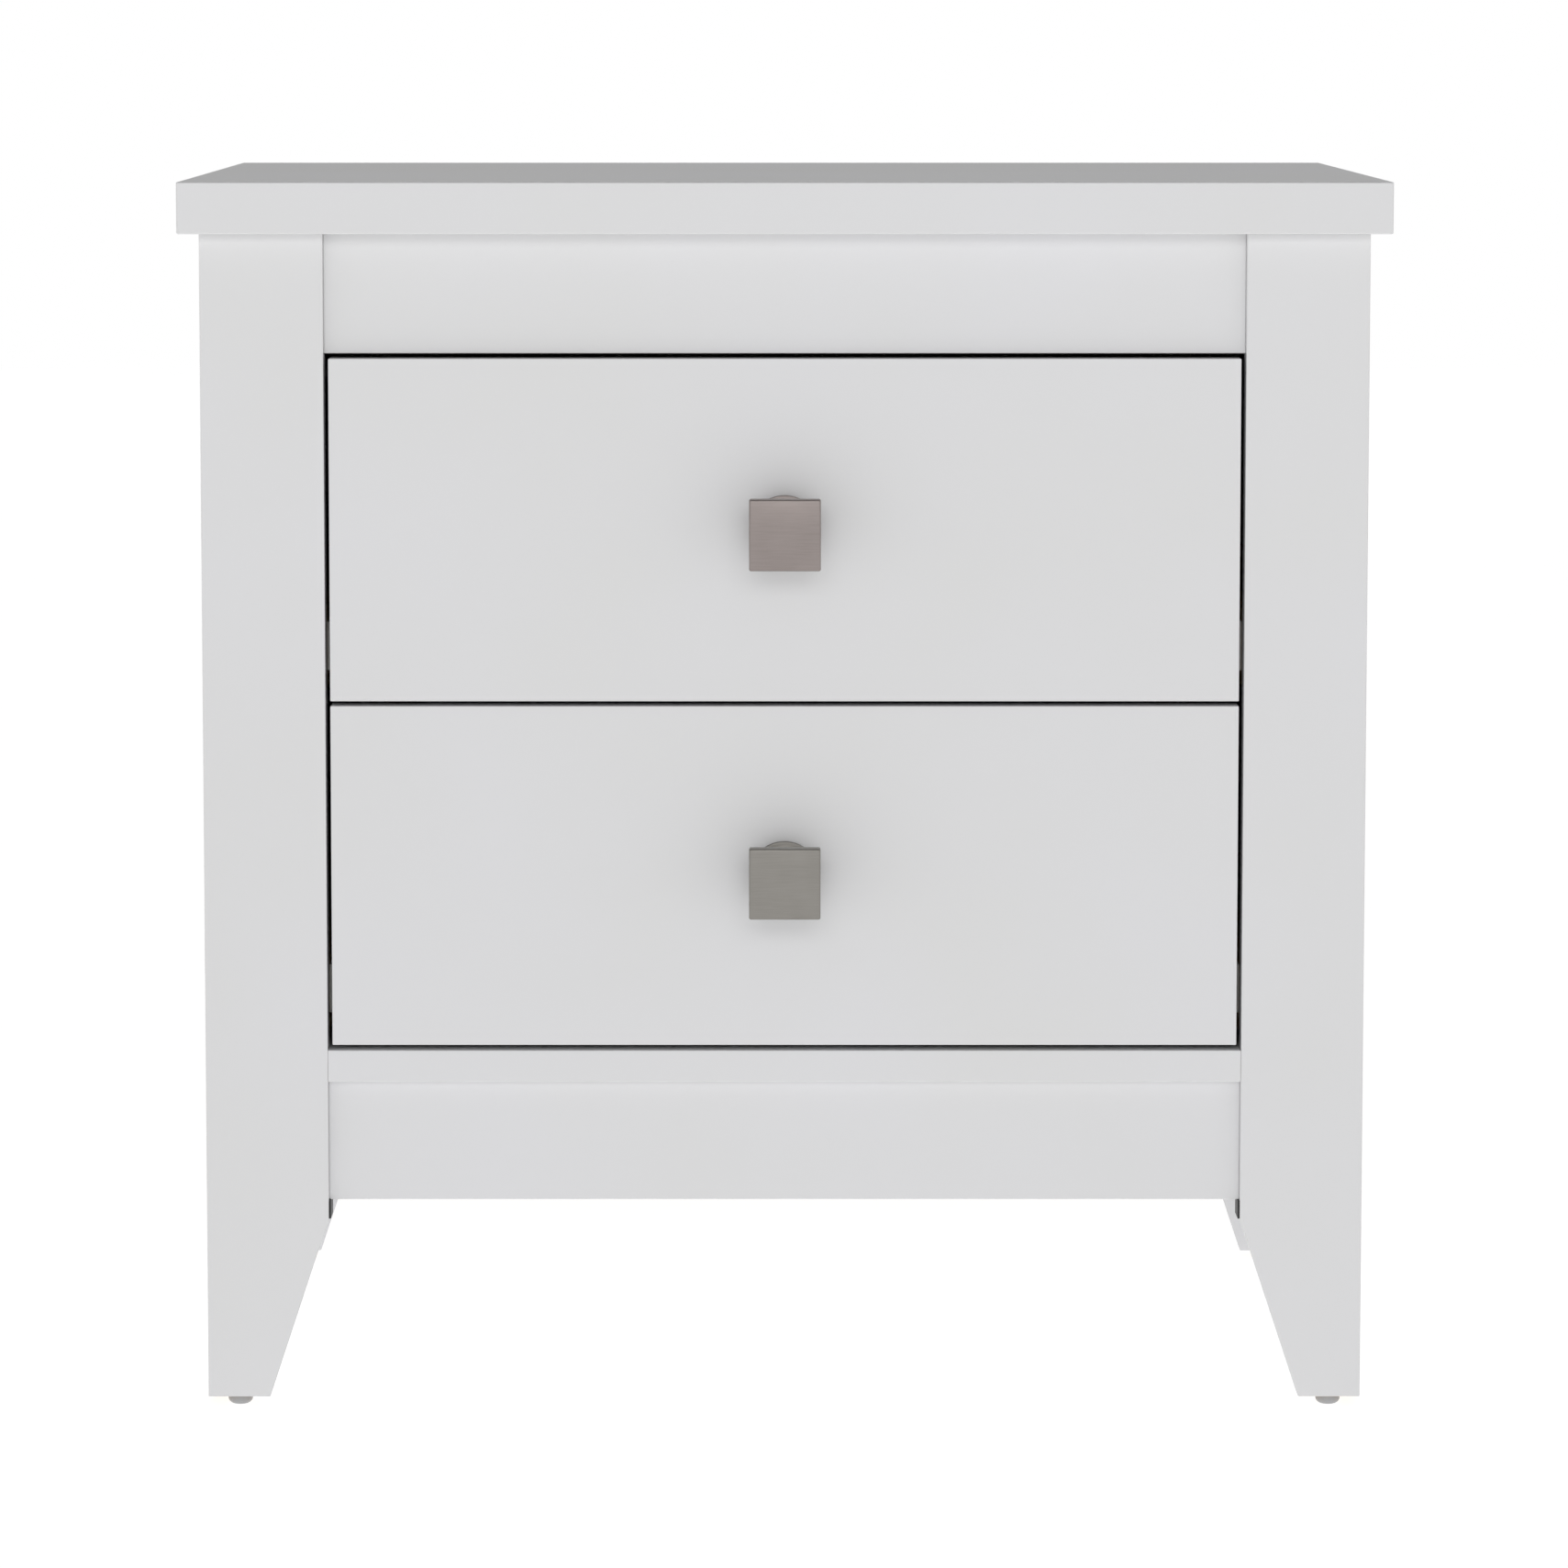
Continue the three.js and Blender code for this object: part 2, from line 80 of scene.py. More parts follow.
def add_node(tree, kind, settings, inputs):
    """Adds a node with its settings. An input is a value, or another node's output to link."""
    node = tree.nodes.new("ShaderNode" + kind)
    for name, value in settings.items():
        setattr(node, name, value)
    for socket, value in inputs.items():
        if isinstance(value, bpy.types.NodeSocket):
            tree.links.new(value, node.inputs[socket])
        else:
            node.inputs[socket].default_value = value
    return node


def melamine_on_chipboard(name, sawn_feet=False):
    # A clean cool white with an even satin gloss, never quite one tone across a wide board. The
    # paper's pearl relief breaks up reflections, and edges are rubbed a little duller and greyer.
    pearl = 1.6 * MM             # real pearls are 0.5 mm, drawn coarser so that they show
    cloud = 110 * MM
    rub = 14 * MM
    chip = 2.2 * MM
    material, tree = new_material(name)
    place = add_node(tree, "TexCoord", {}, {}).outputs["Object"]
    clouds = add_node(tree, "TexNoise", {}, {"Vector": place, "Scale": 1 / cloud, "Detail": 2.0})
    white = add_node(tree, "Mix", {"data_type": "RGBA"}, {
        MIX_FACTOR: clouds.outputs["Fac"], MIX_FROM: linear("#DEDEDD"), MIX_TO: linear("#E1E1E4")})
    corner = add_node(tree, "Bevel", {"samples": 4}, {"Radius": 0.9 * MM})
    surface = add_node(tree, "NewGeometry", {}, {})
    turn = add_node(tree, "VectorMath", {"operation": "DOT_PRODUCT"}, {
        0: corner.outputs["Normal"], 1: surface.outputs["True Normal"]})
    edge = add_node(tree, "MapRange", {}, {
        "Value": turn.outputs["Value"], "From Min": 0.995, "From Max": 0.9, "To Min": 0, "To Max": 1})
    patches = add_node(tree, "TexNoise", {}, {"Vector": place, "Scale": 1 / rub, "Detail": 4.0})
    worn = add_node(tree, "MapRange", {}, {
        "Value": patches.outputs["Fac"], "From Min": 0.4, "From Max": 0.7, "To Min": 0.1, "To Max": 0.6})
    rubbed = add_node(tree, "Math", {"operation": "MULTIPLY"}, {
        0: edge.outputs["Result"], 1: worn.outputs["Result"]})
    colour = add_node(tree, "Mix", {"data_type": "RGBA"}, {
        MIX_FACTOR: rubbed.outputs["Value"], MIX_FROM: white.outputs[MIXED], MIX_TO: linear("#C8C7C4")})
    gloss = add_node(tree, "MapRange", {}, {
        "Value": rubbed.outputs["Value"], "From Min": 0, "From Max": 1, "To Min": 0.38, "To Max": 0.62})
    pearls = add_node(tree, "TexNoise", {}, {"Vector": place, "Scale": 1 / pearl, "Detail": 1.0})
    relief = add_node(tree, "Bump", {}, {
        "Strength": 0.12, "Distance": 0.05 * MM, "Height": pearls.outputs["Fac"]})
    base = colour.outputs[MIXED]
    if sawn_feet:
        # The sawn end of the board: pale and darker wood chips pressed flat, with no foil on them.
        chips = add_node(tree, "TexVoronoi", {}, {"Vector": place, "Scale": 1 / chip})
        tone = add_node(tree, "SeparateColor", {}, {"Color": chips.outputs["Color"]})
        wood = add_node(tree, "Mix", {"data_type": "RGBA"}, {
            MIX_FACTOR: tone.outputs["Red"], MIX_FROM: linear("#A5825A"), MIX_TO: linear("#D9BE95")})
        facing = add_node(tree, "SeparateXYZ", {}, {"Vector": surface.outputs["True Normal"]})
        down = add_node(tree, "Math", {"operation": "LESS_THAN"}, {0: facing.outputs["Z"], 1: -0.9})
        height = add_node(tree, "SeparateXYZ", {}, {"Vector": place})
        low = add_node(tree, "Math", {"operation": "LESS_THAN"}, {
            0: height.outputs["Z"], 1: SAWN_HEIGHT})
        sawn = add_node(tree, "Math", {"operation": "MULTIPLY"}, {
            0: down.outputs["Value"], 1: low.outputs["Value"]})
        base = add_node(tree, "Mix", {"data_type": "RGBA"}, {
            MIX_FACTOR: sawn.outputs["Value"], MIX_FROM: base, MIX_TO: wood.outputs[MIXED]}).outputs[MIXED]
    shader = add_node(tree, "BsdfPrincipled", {}, {
        "Base Color": base, "Roughness": gloss.outputs["Result"], "IOR": 1.5,
        "Normal": relief.outputs["Normal"]})
    add_node(tree, "OutputMaterial", {}, {"Surface": shader.outputs["BSDF"]})
    return material


def soften_edges(part, radius):
    """Rounds the sharp edges of a part from the frame, and keeps its flat faces flat."""
    part.data.shade_smooth()
    weld = part.modifiers.new("joined corners", "WELD")
    weld.merge_threshold = 0.001 * MM
    whole = part.modifiers.new("whole faces", "DECIMATE")
    whole.decimate_type = "DISSOLVE"
    whole.angle_limit = math.radians(1)
    bevel = part.modifiers.new("rounded edges", "BEVEL")
    bevel.width = radius
    bevel.segments = 3
    bevel.limit_method = "ANGLE"
    bevel.angle_limit = math.radians(30)    # keeps the facets of round holes as they are
    gloss = part.modifiers.new("even gloss", "WEIGHTED_NORMAL")
    gloss.weight = 100
    gloss.keep_sharp = False


def dress(node, material, radius):
    """Gives a part from the frame its finish and its soft edges."""
    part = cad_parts[node]
    part.material_slots[0].material = material
    soften_edges(part, radius)


white_board = melamine_on_chipboard("melamine_faced_chipboard")
footed_board = melamine_on_chipboard("melamine_faced_chipboard_with_sawn_feet", sawn_feet=True)
for name in SIDES:
    dress(f"{name}_side_panel", footed_board, STRIP_EDGE)
    for end in ENDS:
        dress(f"{end}_{name}_leg", footed_board, STRIP_EDGE)


# ---------- Rails, aprons and bottom panel ----------
# The same melamine-faced board. Rails tie the legs together under the top, aprons under the
# bottom panel, and the bottom panel comes forward between the legs to close the drawer opening.

for node in ("front_top_rail", "rear_top_rail", "front_apron", "rear_apron", "bottom_panel"):
    dress(node, white_board, STRIP_EDGE)


# ---------- Cam locks of the bottom panel ----------
# Die-cast zinc cams, 15 mm across, pressed into bored pockets in the panel's underside. Each is
# turned a half turn with a screwdriver to pull on a steel bolt in the side panel.

CAM_RADIUS = 7.5 * MM
CAM_PROUD = 0.4 * MM             # how far a cam's face stands out of the board
CAM_DEEP = 9 * MM
CAM_RIM = 0.9 * MM               # width of the raised rim round a cam's face
CAM_PIT = 0.25 * MM              # how far the face lies below the rim
CAM_BORED_IN = 34 * MM           # stock distance from the board that a cam pulls against
CAM_FROM_PANEL_END = 70 * MM
ROUND = 48                       # facets of small round parts
SHARP = math.radians(40)         # edges with a wider angle than this are shaded sharp


def rounded(points, radius, steps=4):
    """The outline with each of its inner corners rounded."""
    outline = [Vector(points[0])]
    for before, corner, after in zip(points, points[1:], points[2:]):
        corner = Vector(corner)
        sides = [Vector(other) - corner for other in (before, after)]
        start, end = [corner + side.normalized() * min(radius, side.length / 2) for side in sides]
        for i in range(steps + 1):
            t = i / steps
            outline.append(start.lerp(corner, t).lerp(corner.lerp(end, t), t))
    return outline + [Vector(points[-1])]


def add_turned(shape, profile, place, dent=None, ring=False, around=ROUND):
    """Adds a solid turned about +Z from (radius, height) points, from the bottom up.

    The dent says how far each point is lowered. A ring's outline closes on itself.
    """
    loops = []
    for radius, height in profile:
        loop = []
        for i in range(around if radius > 0 else 1):
            turn = 2 * math.pi * i / around
            x, y = radius * math.cos(turn), radius * math.sin(turn)
            lowered = height - dent(x, y, height) if dent else height
            loop.append(shape.verts.new(place @ Vector((x, y, lowered))))
        loops.append(loop)
    pairs = list(zip(loops, loops[1:]))
    if ring:
        pairs.append((loops[-1], loops[0]))
    for low, high in pairs:
        for i in range(around):
            corners = [low[i % len(low)], low[(i + 1) % len(low)],
                       high[(i + 1) % len(high)], high[i % len(high)]]
            shape.faces.new(list(dict.fromkeys(corners)))


def piece_from(shape, name, material):
    """The shape as an object, shaded smooth except across its sharp edges."""
    for face in shape.faces:
        face.smooth = True
    for edge in shape.edges:
        edge.smooth = edge.calc_face_angle(0) < SHARP
    mesh = bpy.data.meshes.new(name)
    shape.to_mesh(mesh)
    shape.free()
    mesh.materials.append(material)
    piece = bpy.data.objects.new(name, mesh)
    bpy.context.scene.collection.objects.link(piece)
    return piece


def standing(place, direction):
    """The matrix that puts a part made on +Z at a place, with its top towards a direction."""
    turn = Vector(direction).to_track_quat("Z", "Y").to_matrix().to_4x4()
    return Matrix.Translation(place) @ turn


def ramp(value, run):
    """Rises from 0 to 1 as the value goes from 0 to the run, and stays within them."""
    return min(max(value / run, 0), 1)


def cross_recess(arm, width, depth):
    """A screwdriver's cross, as the depth to which a point of the top is lowered."""
    def dent(x, y, height):
        if height < 0:
            return 0
        near, far = sorted((abs(x), abs(y)))
        return depth * ramp(width / 2 - near, width / 5) * ramp(arm - far, arm / 4)
    return dent


def add_cam(shape, place, direction):
    """A cam in its pocket, its face showing. Close rings on the face carry the recess."""
    inside_rim = CAM_RADIUS - CAM_RIM
    rim_slope = 0.3 * MM
    ring_gap = 0.45 * MM
    ring_count = 14
    face = CAM_PROUD - CAM_PIT
    rings = [(inside_rim - rim_slope - i * ring_gap, face) for i in range(ring_count)]
    body = rounded([(0, -CAM_DEEP), (CAM_RADIUS, -CAM_DEEP), (CAM_RADIUS, CAM_PROUD),
                    (inside_rim, CAM_PROUD)], radius=0.2 * MM)
    dent = cross_recess(arm=3.4 * MM, width=1.8 * MM, depth=1.4 * MM)
    add_turned(shape, body + rings + [(0, face)], standing(place, direction), dent)


def zinc_die_casting(name):
    # Dull mid-grey metal straight from the mould: cloudy, slightly rough, with a darker bloom.
    cloud = 3 * MM
    grit = 0.5 * MM              # real grit is 0.1 mm, drawn coarser so that it shows
    material, tree = new_material(name)
    place = add_node(tree, "TexCoord", {}, {}).outputs["Object"]
    bloom = add_node(tree, "TexNoise", {}, {"Vector": place, "Scale": 1 / cloud, "Detail": 3.0})
    colour = add_node(tree, "Mix", {"data_type": "RGBA"}, {
        MIX_FACTOR: bloom.outputs["Fac"], MIX_FROM: linear("#8F9294"), MIX_TO: linear("#B9BCBE")})
    gloss = add_node(tree, "MapRange", {}, {"Value": bloom.outputs["Fac"], "To Min": 0.5, "To Max": 0.36})
    grain = add_node(tree, "TexNoise", {}, {"Vector": place, "Scale": 1 / grit})
    relief = add_node(tree, "Bump", {}, {
        "Strength": 0.3, "Distance": 0.05 * MM, "Height": grain.outputs["Fac"]})
    shader = add_node(tree, "BsdfPrincipled", {}, {
        "Base Color": colour.outputs[MIXED], "Metallic": 1.0, "Roughness": gloss.outputs["Result"],
        "Normal": relief.outputs["Normal"]})
    add_node(tree, "OutputMaterial", {}, {"Surface": shader.outputs["BSDF"]})
    return material


cast_zinc = zinc_die_casting("zinc_die_casting")
low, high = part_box("bottom_panel")
cam_x = high.x - CAM_BORED_IN
shape = bmesh.new()
for side in SIDES.values():
    for y in (low.y + CAM_FROM_PANEL_END, high.y - CAM_FROM_PANEL_END):
        add_cam(shape, (side * cam_x, y, low.z), (0, 0, -1))
bottom_cams = piece_from(shape, "bottom_panel_cam_locks", cast_zinc)
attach(bottom_cams, "cabinet")


# ---------- Back panel and its nails ----------
# Hardboard 3 mm thick: wood fibre pressed hot until it is dense and smooth, bare brown outside and
# roller-coated white inside. It is nailed to the legs, the rear rail and the bottom panel.

NAIL_HEAD = 1.9 * MM             # radius of the head
NAIL_HEAD_RISE = 0.45 * MM
NAIL_SHANK = 0.7 * MM            # radius of the shank
NAIL_LONG = 14 * MM
NAILS_UP_A_LEG = 6
NAILS_ALONG_A_RAIL = (-0.6, -0.2, 0.2, 0.6)     # as shares of the way out to the leg
NAIL_LEG_INSET = 12 * MM         # outwards from the middle of what the back covers of a leg
NAIL_RAIL_UP = 36 * MM           # above the rear rail's lower edge


def hardboard(name, white_normal):
    # Even toffee brown with fine darker fibre bundles and a soft dull sheen. The coated face is a
    # flat off-white in which the fibres still show faintly.
    fibre = 2.5 * MM
    cloud = 45 * MM
    material, tree = new_material(name)
    place = add_node(tree, "TexCoord", {}, {}).outputs["Object"]
    clouds = add_node(tree, "TexNoise", {}, {"Vector": place, "Scale": 1 / cloud, "Detail": 3.0})
    brown = add_node(tree, "Mix", {"data_type": "RGBA"}, {
        MIX_FACTOR: clouds.outputs["Fac"], MIX_FROM: linear("#A98456"), MIX_TO: linear("#C6A67A")})
    fibres = add_node(tree, "TexNoise", {}, {
        "Vector": place, "Scale": 1 / fibre, "Detail": 5.0, "Roughness": 0.7, "Distortion": 1.2})
    strands = add_node(tree, "MapRange", {}, {
        "Value": fibres.outputs["Fac"], "From Min": 0.56, "From Max": 0.7, "To Min": 0, "To Max": 0.55})
    bare = add_node(tree, "Mix", {"data_type": "RGBA"}, {
        MIX_FACTOR: strands.outputs["Result"], MIX_FROM: brown.outputs[MIXED], MIX_TO: linear("#7C5C38")})
    coat = add_node(tree, "Mix", {"data_type": "RGBA"}, {
        MIX_FACTOR: strands.outputs["Result"], MIX_FROM: linear("#E4E4E1"), MIX_TO: linear("#D3D1CB")})
    surface = add_node(tree, "NewGeometry", {}, {})
    toward = add_node(tree, "VectorMath", {"operation": "DOT_PRODUCT"}, {
        0: surface.outputs["True Normal"], 1: white_normal})
    coated = add_node(tree, "Math", {"operation": "GREATER_THAN"}, {0: toward.outputs["Value"], 1: 0.9})
    colour = add_node(tree, "Mix", {"data_type": "RGBA"}, {
        MIX_FACTOR: coated.outputs["Value"], MIX_FROM: bare.outputs[MIXED], MIX_TO: coat.outputs[MIXED]})
    gloss = add_node(tree, "MapRange", {}, {
        "Value": coated.outputs["Value"], "To Min": 0.68, "To Max": 0.45})
    relief = add_node(tree, "Bump", {}, {
        "Strength": 0.25, "Distance": 0.08 * MM, "Height": fibres.outputs["Fac"]})
    shader = add_node(tree, "BsdfPrincipled", {}, {
        "Base Color": colour.outputs[MIXED], "Roughness": gloss.outputs["Result"], "IOR": 1.5,
        "Normal": relief.outputs["Normal"]})
    add_node(tree, "OutputMaterial", {}, {"Surface": shader.outputs["BSDF"]})
    return material


def zinc_plated_steel(name):
    # Bright bluish-white plate over drawn steel, mottled a little by the passivation bath.
    cloud = 4 * MM
    material, tree = new_material(name)
    place = add_node(tree, "TexCoord", {}, {}).outputs["Object"]
    bath = add_node(tree, "TexNoise", {}, {"Vector": place, "Scale": 1 / cloud, "Detail": 2.0})
    colour = add_node(tree, "Mix", {"data_type": "RGBA"}, {
        MIX_FACTOR: bath.outputs["Fac"], MIX_FROM: linear("#A9AFB7"), MIX_TO: linear("#CFCDC4")})
    gloss = add_node(tree, "MapRange", {}, {"Value": bath.outputs["Fac"], "To Min": 0.24, "To Max": 0.38})
    shader = add_node(tree, "BsdfPrincipled", {}, {
        "Base Color": colour.outputs[MIXED], "Metallic": 1.0, "Roughness": gloss.outputs["Result"]})
    add_node(tree, "OutputMaterial", {}, {"Surface": shader.outputs["BSDF"]})
    return material


def dome(radius, height, steps=9):
    """Points of a low round head, from its rim in to the axis."""
    turns = [math.pi / 2 * i / steps for i in range(steps)]
    return [(radius * math.cos(t), height * math.sin(t)) for t in turns] + [(0, height)]


dress("back_panel", hardboard("hardboard_coated_inside", (0, -1, 0)), radius=0.3 * MM)
plated_steel = zinc_plated_steel("zinc_plated_steel")
low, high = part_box("back_panel")
nail_x = (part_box("rear_right_leg")[0].x + high.x) / 2 + NAIL_LEG_INSET
rail_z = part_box("rear_top_rail")[0].z + NAIL_RAIL_UP
shelf_z = sum(corner.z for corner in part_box("bottom_panel")) / 2
nail_gap = (rail_z - shelf_z) / (NAILS_UP_A_LEG - 1)
nails = [(side * nail_x, shelf_z + nail_gap * i) for side in SIDES.values() for i in range(NAILS_UP_A_LEG)]
nails += [(nail_x * across, z) for z in (shelf_z, rail_z) for across in NAILS_ALONG_A_RAIL]
shank = [(0, -NAIL_LONG), (NAIL_SHANK, -NAIL_LONG), (NAIL_SHANK, 0)]
nail = shank + dome(NAIL_HEAD, NAIL_HEAD_RISE, steps=4)
shape = bmesh.new()
for x, z in nails:
    add_turned(shape, nail, standing((x, high.y, z), (0, 1, 0)), around=24)
back_nails = piece_from(shape, "back_panel_nails", plated_steel)
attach(back_nails, "cabinet")


# ---------- Glides ----------
# Moulded polyethylene buttons with a nail through them, hammered into the end of each leg so that
# the cabinet slides and its sawn ends stay off a wet floor.

GLIDE_FLAT = 2.4 * MM            # radius of the flat that stands on the floor
GLIDE_RIM = 1.75 * MM            # straight rim of the button above its dome
GLIDE_NAIL = 1 * MM              # radius of the nail
GLIDE_POINT = 2 * MM             # length of the nail's point


def moulded_polyethylene(name):
    # Soft light grey with a waxy sheen, scuffed duller where it meets the floor.
    scuff = 1.5 * MM
    material, tree = new_material(name)
    place = add_node(tree, "TexCoord", {}, {}).outputs["Object"]
    scuffs = add_node(tree, "TexNoise", {}, {"Vector": place, "Scale": 1 / scuff, "Detail": 4.0})
    height = add_node(tree, "SeparateXYZ", {}, {"Vector": place})
    worn = add_node(tree, "MapRange", {}, {
        "Value": height.outputs["Z"], "From Min": 0, "From Max": 1.2 * MM, "To Min": 0.9, "To Max": 0.1})
    scuffed = add_node(tree, "Math", {"operation": "MULTIPLY"}, {
        0: scuffs.outputs["Fac"], 1: worn.outputs["Result"]})
    colour = add_node(tree, "Mix", {"data_type": "RGBA"}, {
        MIX_FACTOR: scuffed.outputs["Value"], MIX_FROM: linear("#A3A4A6"), MIX_TO: linear("#7F7E7C")})
    gloss = add_node(tree, "MapRange", {}, {
        "Value": scuffed.outputs["Value"], "From Min": 0, "From Max": 0.5, "To Min": 0.4, "To Max": 0.7})
    relief = add_node(tree, "Bump", {}, {
        "Strength": 0.2, "Distance": 0.05 * MM, "Height": scuffs.outputs["Fac"]})
    shader = add_node(tree, "BsdfPrincipled", {}, {
        "Base Color": colour.outputs[MIXED], "Roughness": gloss.outputs["Result"], "IOR": 1.51,
        "Normal": relief.outputs["Normal"]})
    add_node(tree, "OutputMaterial", {}, {"Surface": shader.outputs["BSDF"]})
    return material


polyethylene = moulded_polyethylene("moulded_polyethylene")
for end in ENDS:
    for name in SIDES:
        low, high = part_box(f"{end}_{name}_glide")
        middle = (low + high) / 2
        radius = (high.x - low.x) / 2
        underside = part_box(f"{end}_{name}_leg")[0].z
        dome_top = underside - GLIDE_RIM
        turns = [math.pi / 2 * i / 10 for i in range(11)]
        button = [(0, 0)]
        button += [(GLIDE_FLAT + (radius - GLIDE_FLAT) * math.sin(t), dome_top * (1 - math.cos(t)))
                   for t in turns]
        stem = rounded([(radius, dome_top), (radius, underside), (GLIDE_NAIL, underside),
                        (GLIDE_NAIL, high.z - GLIDE_POINT), (0, high.z)], radius=0.25 * MM)
        shape = bmesh.new()
        add_turned(shape, button + stem[1:], Matrix.Translation((middle.x, middle.y, 0)), around=64)
        glide = piece_from(shape, f"{end}_{name}_glide_button", polyethylene)
        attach(glide, "cabinet")
        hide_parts(f"{end}_{name}_glide")


# ---------- Apron brackets and their screws ----------
# Moulded black brackets that tie the front apron to the legs from behind. Their thin black lips cover the
# legs' edges below the apron, a dark piece put there as painted shade for the dark slit beside each leg.

BRACKET_SCREWS_DOWN = (14 * MM, 38 * MM)        # from the bracket's top
BRACKET_SCREW = {"head": 3.6 * MM, "rise": 2 * MM, "shank": 1.6 * MM, "length": 12 * MM}


def moulded_black_plastic(name):
    # Deep charcoal with a fine spark-eroded texture that turns highlights into a grey haze.
    grain = 0.8 * MM             # real texture is 0.2 mm, drawn coarser so that it shows
    cloud = 12 * MM
    material, tree = new_material(name)
    place = add_node(tree, "TexCoord", {}, {}).outputs["Object"]
    clouds = add_node(tree, "TexNoise", {}, {"Vector": place, "Scale": 1 / cloud})
    colour = add_node(tree, "Mix", {"data_type": "RGBA"}, {
        MIX_FACTOR: clouds.outputs["Fac"], MIX_FROM: linear("#0E0E0F"), MIX_TO: linear("#1D1D1F")})
    gloss = add_node(tree, "MapRange", {}, {"Value": clouds.outputs["Fac"], "To Min": 0.48, "To Max": 0.62})
    sparks = add_node(tree, "TexNoise", {}, {"Vector": place, "Scale": 1 / grain, "Detail": 3.0})
    relief = add_node(tree, "Bump", {}, {
        "Strength": 0.35, "Distance": 0.06 * MM, "Height": sparks.outputs["Fac"]})
    shader = add_node(tree, "BsdfPrincipled", {}, {
        "Base Color": colour.outputs[MIXED], "Roughness": gloss.outputs["Result"], "IOR": 1.53,
        "Normal": relief.outputs["Normal"]})
    add_node(tree, "OutputMaterial", {}, {"Surface": shader.outputs["BSDF"]})
    return material


def add_screw(shape, place, direction, head, rise, shank, length):
    """A cross-head screw whose head stands on a face and whose shank goes into it."""
    tip = length - 2 * shank
    below_head = -0.01 * MM      # the recess lowers only what lies above the face
    stem = [(0, -length), (shank, -tip), (shank, below_head)]
    dent = cross_recess(arm=head * 0.62, width=head * 0.34, depth=rise * 0.75)
    add_turned(shape, stem + dome(head, rise), standing(place, direction), dent)


black_plastic_and_painted_slit_shade = moulded_black_plastic("moulded_black_plastic")
for name, side in SIDES.items():
    # The black lips that show below the apron are painted shade: a dark slit beside each leg.
    dress(f"{name}_apron_bracket", black_plastic_and_painted_slit_shade, radius=0.25 * MM)
    low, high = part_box(f"{name}_apron_bracket")
    leg_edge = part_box("front_right_leg")[0].x
    outer = max(abs(low.x), abs(high.x))
    inner = min(abs(low.x), abs(high.x))
    shape = bmesh.new()
    for x in ((inner + leg_edge) / 2, (leg_edge + outer) / 2):
        for down in BRACKET_SCREWS_DOWN:
            add_screw(shape, (side * x, high.y, high.z - down), (0, 1, 0), **BRACKET_SCREW)
    screws = piece_from(shape, f"{name}_apron_bracket_screws", plated_steel)
    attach(screws, "cabinet")


# ---------- Runner battens ----------
# Planed pine, glued inside the side panels to bring the runners level with the legs' edges. They
# run front to back, and the grain runs with them.


def planed_pine(name):
    # Pale straw wood with honey-coloured late-wood lines along Y and a raw, dull planed surface.
    ring = 5 * MM
    band_at_one = 0.3            # metres between the bands of a wave at scale 1
    fibre = 0.7 * MM
    material, tree = new_material(name)
    place = add_node(tree, "TexCoord", {}, {}).outputs["Object"]
    along = add_node(tree, "Mapping", {}, {"Vector": place, "Scale": (1, 0.06, 1)})
    rings = add_node(tree, "TexWave", {"wave_type": "BANDS", "bands_direction": "DIAGONAL"}, {
        "Vector": along.outputs["Vector"], "Scale": band_at_one / ring, "Distortion": 6.0,
        "Detail": 3.0, "Detail Scale": 1.4})
    wood = add_node(tree, "Mix", {"data_type": "RGBA"}, {
        MIX_FACTOR: rings.outputs["Fac"], MIX_FROM: linear("#E3C99B"), MIX_TO: linear("#C79C62")})
    fibres = add_node(tree, "TexNoise", {}, {
        "Vector": along.outputs["Vector"], "Scale": 1 / fibre, "Detail": 3.0})
    colour = add_node(tree, "Mix", {"data_type": "RGBA", "blend_type": "MULTIPLY"}, {
        MIX_FACTOR: 0.35, MIX_FROM: wood.outputs[MIXED], MIX_TO: fibres.outputs["Color"]})
    gloss = add_node(tree, "MapRange", {}, {"Value": rings.outputs["Fac"], "To Min": 0.75, "To Max": 0.58})
    relief = add_node(tree, "Bump", {}, {
        "Strength": 0.3, "Distance": 0.1 * MM, "Height": fibres.outputs["Fac"]})
    shader = add_node(tree, "BsdfPrincipled", {}, {
        "Base Color": colour.outputs[MIXED], "Roughness": gloss.outputs["Result"], "IOR": 1.5,
        "Normal": relief.outputs["Normal"]})
    add_node(tree, "OutputMaterial", {}, {"Surface": shader.outputs["BSDF"]})
    return material


LEVELS = ("upper", "lower")
pine = planed_pine("planed_pine")
for level in LEVELS:
    for name in SIDES:
        dress(f"{level}_{name}_runner_batten", pine, radius=0.8 * MM)


# ---------- Cabinet runners, their screws and front rollers ----------
# Channels folded from 1.25 mm sheet steel, powder coated white and screwed to the battens. A nylon
# roller turns on a rivet at each front end and carries the drawer's own profile.

RUNNER_SHEET = 1.25 * MM
RUNNER_EDGE = 0.3 * MM           # radius left by the coat on a cut edge
RUNNER_SCREW = {"head": 3.1 * MM, "rise": 0.8 * MM, "shank": 1.6 * MM, "length": 14 * MM}
CABINET_HOLES = (60 * MM, 190 * MM)     # from the runner's front end
CABINET_REAR_HOLE = 40 * MM             # from its rear end


